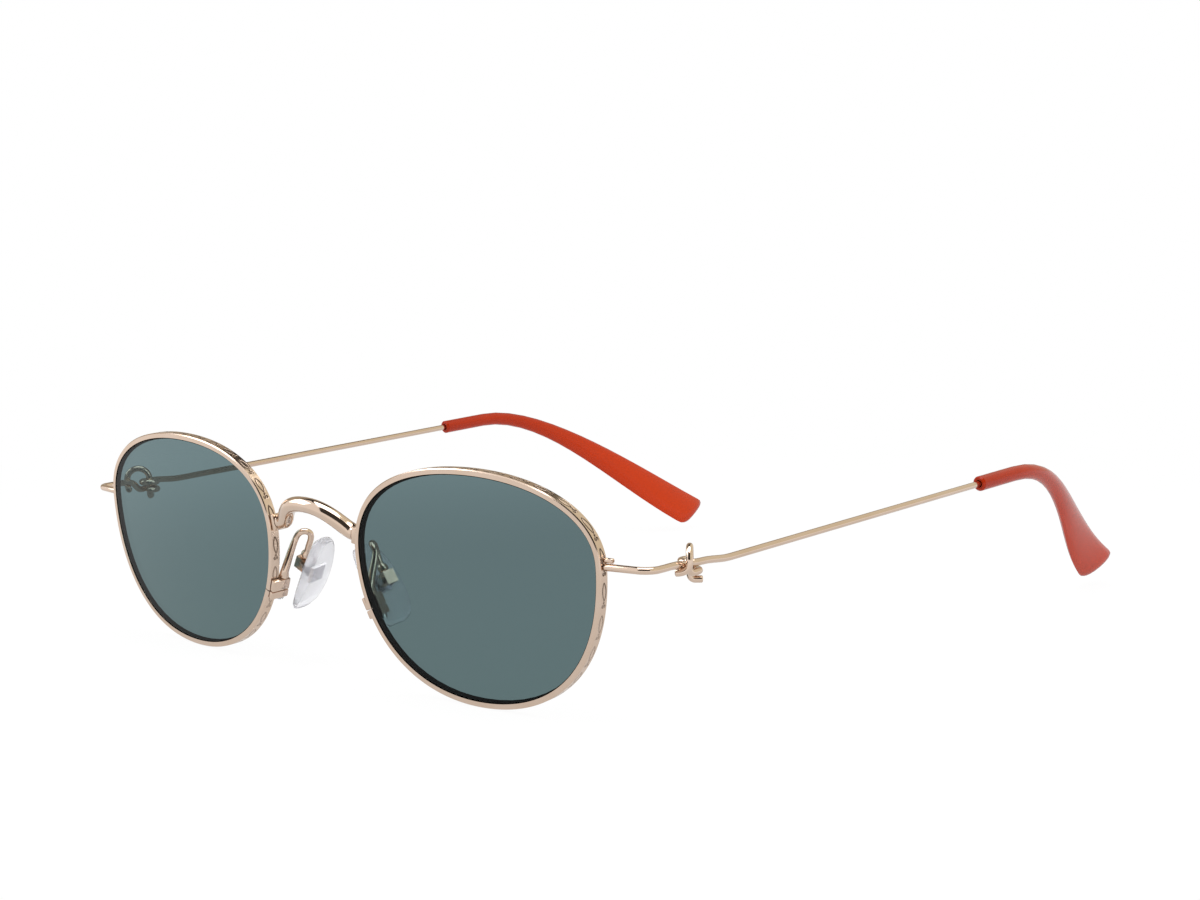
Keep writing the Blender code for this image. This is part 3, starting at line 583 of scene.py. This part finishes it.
PAD_SILICONE = clear_silicone()
PLATE_STEEL = plated("plate_steel", PLATE_ROUGHNESS, PLATE_PALE, PLATE_DEEP)
for side in ("left", "right"):
    body = side + "_nose_pad"
    bent_wire(side + "_bent_pad_arm", side + "_pad_arm", POLISHED_GOLD, "front")
    milled(side + "_pad_box", side + "_pad_holder", SATIN_GOLD, "front")
    milled(side + "_pivot_screw", side + "_pad_screw", SCREW_STEEL, "front")
    milled(side + "_pad_plate", side + "_pad_insert", PLATE_STEEL, body)
    pad = milled(side + "_silicone_pad", side + "_nose_pad", PAD_SILICONE, body)


# End pieces and hinges
# The temple is carried by a wire brazed to the rim, with a short peg beside it. Its end is rolled to an
# eye, and the temple's eye lies on it, on a pin that is bent over them to a standing loop.

for side in ("left", "right"):
    bent_wire(side + "_end_wire", side + "_end_piece", POLISHED_GOLD, "front")
    bent_wire(side + "_peg", side + "_end_peg", POLISHED_GOLD, "front")
    bent_wire(side + "_pin_loop", side + "_hinge_loop", POLISHED_GOLD, "front")


# Temples
# A straight wire of the same plated metal is rolled to an eye on the hinge pin, and runs back from it
# into the tip.

for side in ("left", "right"):
    bent_wire(side + "_temple", side + "_temple_wire", POLISHED_GOLD, side + "_temple")


# Temple tips
# The tips are moulded from milky orange acetate, pushed on the wire, bent down behind the ear and pressed
# to a rounded paddle.

TIP_GLOW_ORANGE = (0.490, 0.034, 0.001)
TIP_DEEP = (0.300, 0.018, 0.002)
TIP_FRONT = 10 * MM
TIP_LENGTH = 70 * MM
TIP_MOTTLE_SCALE = 90.0
TIP_MOTTLE = 0.3
TIP_EDGE_SHADE = (0.210, 0.022, 0.012)
TIP_EDGE_SHADE_SHARE = 0.75
TIP_EDGE_SHADE_BLEND = 0.35
TIP_IOR = 1.48
TIP_SPECULAR = 0.22
TIP_ROUGHNESS = 0.17
TIP_GRAIN_SCALE = 300.0
TIP_GRAIN = 0.06


def milky_acetate():
    """Acetate painted deeper at the collar and lighter towards the paddle as a painted glow, with painted
    shade along the edges turned from the view.
    """
    finish, field, sockets = new_finish(
        "milky_acetate", IOR=TIP_IOR, Specular_IOR_Level=TIP_SPECULAR,
    )
    split = field.node("SeparateXYZ", {}, {"Vector": object_place(field)})
    # Painted glow: from the collar to the paddle the colour goes from deep to lighter orange, with random
    # mottle
    back = (split.output("Y") - TIP_FRONT) / TIP_LENGTH
    depth = back + cloud(field, TIP_MOTTLE_SCALE) * TIP_MOTTLE - TIP_MOTTLE / 2
    body = depth.mix(TIP_DEEP, TIP_GLOW_ORANGE)
    # Painted shade: the tip is painted deeper brown where its surface turns away from the view
    edge_shade_mask = field.node("LayerWeight", {}, {"Blend": TIP_EDGE_SHADE_BLEND}, "Facing")
    field.fill(sockets["Base Color"], (edge_shade_mask * TIP_EDGE_SHADE_SHARE).mix(body, TIP_EDGE_SHADE))
    field.fill(sockets["Roughness"], TIP_ROUGHNESS + cloud(field, TIP_GRAIN_SCALE) * TIP_GRAIN)
    return finish


TIP_ACETATE = milky_acetate()
for side in ("left", "right"):
    milled(side + "_moulded_tip", side + "_temple_tip", TIP_ACETATE, side + "_temple")


# Studio
# A white floor and background, a soft light overhead and one from each side, and cards that only polished
# metal mirrors. The camera stands at the front, towards the wearer's left and a little above the frame.

FLOOR_HALF = 4.0
FLOOR_DROP = 0.05 * MM
FLOOR_WHITE = (0.86, 0.86, 0.86)
FLOOR_ROUGHNESS = 0.9
FLOOR_GLOW = 0.95
FLOOR_SHADE_MIRRORED = 0.74
FLOOR_NEAR = 0.06
FLOOR_FAR = 0.27
CARD_RADIUS = 0.90
CARD_STEPS = 48
CARD_DARK = (0.050, 0.046, 0.043)
CARD_WARM = (0.80, 0.77, 0.63)
CARD_BROWN = (0.45, 0.39, 0.30)
# Each card's name and tone, its lowest and highest angle over the floor, and its first and last bearing
CARD_SPANS = (
    ("camera_gap", CARD_DARK, 10, 58, 268, 336),
    ("ceiling_gap", CARD_DARK, 43, 62, 109, 190),
    ("zenith_gap", CARD_DARK, 62, 89, 109, 336),
    ("back_wall", CARD_BROWN, 5, 43, 109, 190),
    ("warm_side", CARD_WARM, 5, 80, -22, 109),
)
THROUGH_DIM = 0.5
WHITE = (1.0, 1.0, 1.0)
BLACK = (0.0, 0.0, 0.0)
WORLD_LEVEL = 0.55
# Each light's name, place, width and power
LIGHTS = (
    ("overhead_light", (0.05, -0.10, 0.70), 0.6, 4.0),
    ("left_light", (-0.60, -0.45, 0.45), 0.5, 3.0),
    ("right_light", (0.70, 0.05, 0.40), 0.5, 2.5),
)
CAMERA_AIM = Vector((18.616, -30.0, 34.180)) * MM
CAMERA_DISTANCE = 386.113 * MM
CAMERA_AZIMUTH = math.radians(42.743)
CAMERA_ELEVATION = math.radians(7.201)
CAMERA_ROLL = math.radians(-0.401)
FOCAL_PIXELS = 2252.96
PHOTO_WIDTH = 1200
SENSOR = 36.0
CLIP_START = 10 * MM


def seen_white(field):
    """1 for rays from the camera, and for those mirrored or let through by the object."""
    path = field.node("LightPath", {}, {}, "Is Camera Ray")
    return path.at_least(path.output("Is Glossy Ray")).at_least(path.output("Is Transmission Ray"))


def behind_lens(field):
    """1 for rays mirrored by the pieces that are seen through a lens or a pad, which stand in its shade."""
    path = field.node("LightPath", {}, {}, "Is Glossy Ray")
    mirrored = (path - path.output("Is Transmission Ray")).above(0.0)
    return mirrored * path.output("Transmission Depth").above(0.0)


stage = bmesh.new()
bmesh.ops.create_grid(
    stage, x_segments=1, y_segments=1, size=FLOOR_HALF, matrix=Matrix.Translation((0, 0, -FLOOR_DROP)),
)
floor_data = bpy.data.meshes.new("studio_floor")
stage.to_mesh(floor_data)
stage.free()
floor_paint, field, _ = new_finish("floor_paint", Base_Color=FLOOR_WHITE, Roughness=FLOOR_ROUGHNESS)
output = field.tree.nodes["Material Output"]
shaded = Field(field.tree, field.tree.nodes["Principled BSDF"].outputs[0])
away = field.node("VectorMath", {"operation": "LENGTH"}, {0: object_place(field)}, "Value")
near = away.fade(FLOOR_NEAR, FLOOR_FAR)
bright = 1.0 - near * (1.0 - FLOOR_GLOW)
mirrored = field.node("LightPath", {}, {}, "Is Glossy Ray")
# Painted shade: in what the metal mirrors, the floor is dimmed near the set, and more for pieces seen
# through a lens
mirrored_floor_shade = (near * mirrored * (1.0 - FLOOR_SHADE_MIRRORED)).at_least(behind_lens(field) * THROUGH_DIM)
glow = field.node("Emission", {}, {"Color": mirrored_floor_shade.mix(WHITE, BLACK)})
lit = field.node("MixShader", {}, {"Fac": seen_white(field) * bright, 1: shaded, 2: glow})
field.fill(output.inputs["Surface"], lit)
floor_data.materials.append(floor_paint)
floor = bpy.data.objects.new("studio_floor", floor_data)
bpy.context.scene.collection.objects.link(floor)


def set_card(name, tone, low, high, first, last):
    """A curved card round the set between two heights and two bearings, seen only in polished metal."""
    card = bmesh.new()
    ends = [
        card.verts.new((CARD_RADIUS * math.cos(height), 0.0, CARD_RADIUS * math.sin(height)))
        for height in (low, high)
    ]
    edge = card.edges.new(ends)
    bmesh.ops.rotate(card, verts=ends, matrix=Matrix.Rotation(first, 3, "Z"))
    bmesh.ops.spin(card, geom=[*ends, edge], axis=(0, 0, 1), angle=last - first, steps=CARD_STEPS)
    data = bpy.data.meshes.new(name)
    card.to_mesh(data)
    card.free()
    paint, field, _ = new_finish(name, Base_Color=BLACK, Specular_IOR_Level=0.0)
    output = field.tree.nodes["Material Output"]
    glow = field.node("Emission", {}, {"Color": tone})
    clear = field.node("BsdfTransparent", {}, {})
    inside = field.node("LightPath", {}, {}, "Transmission Depth").above(0.0)
    field.fill(output.inputs["Surface"], field.node("MixShader", {}, {"Fac": inside, 1: glow, 2: clear}))
    data.materials.append(paint)
    item = bpy.data.objects.new(name, data)
    bpy.context.scene.collection.objects.link(item)
    item.visible_camera = False
    item.visible_diffuse = False
    item.visible_transmission = False
    item.visible_shadow = False


# Dark gaps above the camera and overhead draw the bends of the metal with dark lines, and warm cards at the
# side and the back give the rims and wires their deeper gold
for name, tone, *span in CARD_SPANS:
    set_card(name, tone, *(math.radians(angle) for angle in span))

world = bpy.data.worlds.new("white_studio")
bpy.context.scene.world = world
world.use_nodes = True
air = Field(world.node_tree)
backdrop = world.node_tree.nodes["Background"]
air.fill(backdrop.inputs["Color"], WHITE)
white = seen_white(air)
level = WORLD_LEVEL + white * (1.0 - WORLD_LEVEL)
air.fill(backdrop.inputs["Strength"], level * (1.0 - behind_lens(air) * THROUGH_DIM))


def soft_light(name, place, size, power):
    lamp = bpy.data.lights.new(name, "AREA")
    lamp.shape = "SQUARE"
    lamp.size = size
    lamp.energy = power
    item = bpy.data.objects.new(name, lamp)
    item.location = place
    item.rotation_euler = (-Vector(place)).to_track_quat("-Z", "Y").to_euler()
    bpy.context.scene.collection.objects.link(item)


for light in LIGHTS:
    soft_light(*light)

lens = bpy.data.cameras.new("photo_camera")
lens.sensor_fit = "HORIZONTAL"
lens.sensor_width = SENSOR
lens.lens = FOCAL_PIXELS / PHOTO_WIDTH * SENSOR
lens.clip_start = CLIP_START
camera = bpy.data.objects.new("photo_camera", lens)
turn = Matrix.Rotation(CAMERA_AZIMUTH, 4, "Z") @ Matrix.Rotation(math.pi / 2 - CAMERA_ELEVATION, 4, "X")
back = turn @ Vector((0, 0, CAMERA_DISTANCE))
camera.matrix_world = Matrix.Translation(CAMERA_AIM + back) @ turn @ Matrix.Rotation(CAMERA_ROLL, 4, "Z")
bpy.context.scene.collection.objects.link(camera)
bpy.context.scene.camera = camera
bpy.context.scene.view_settings.view_transform = "Standard"
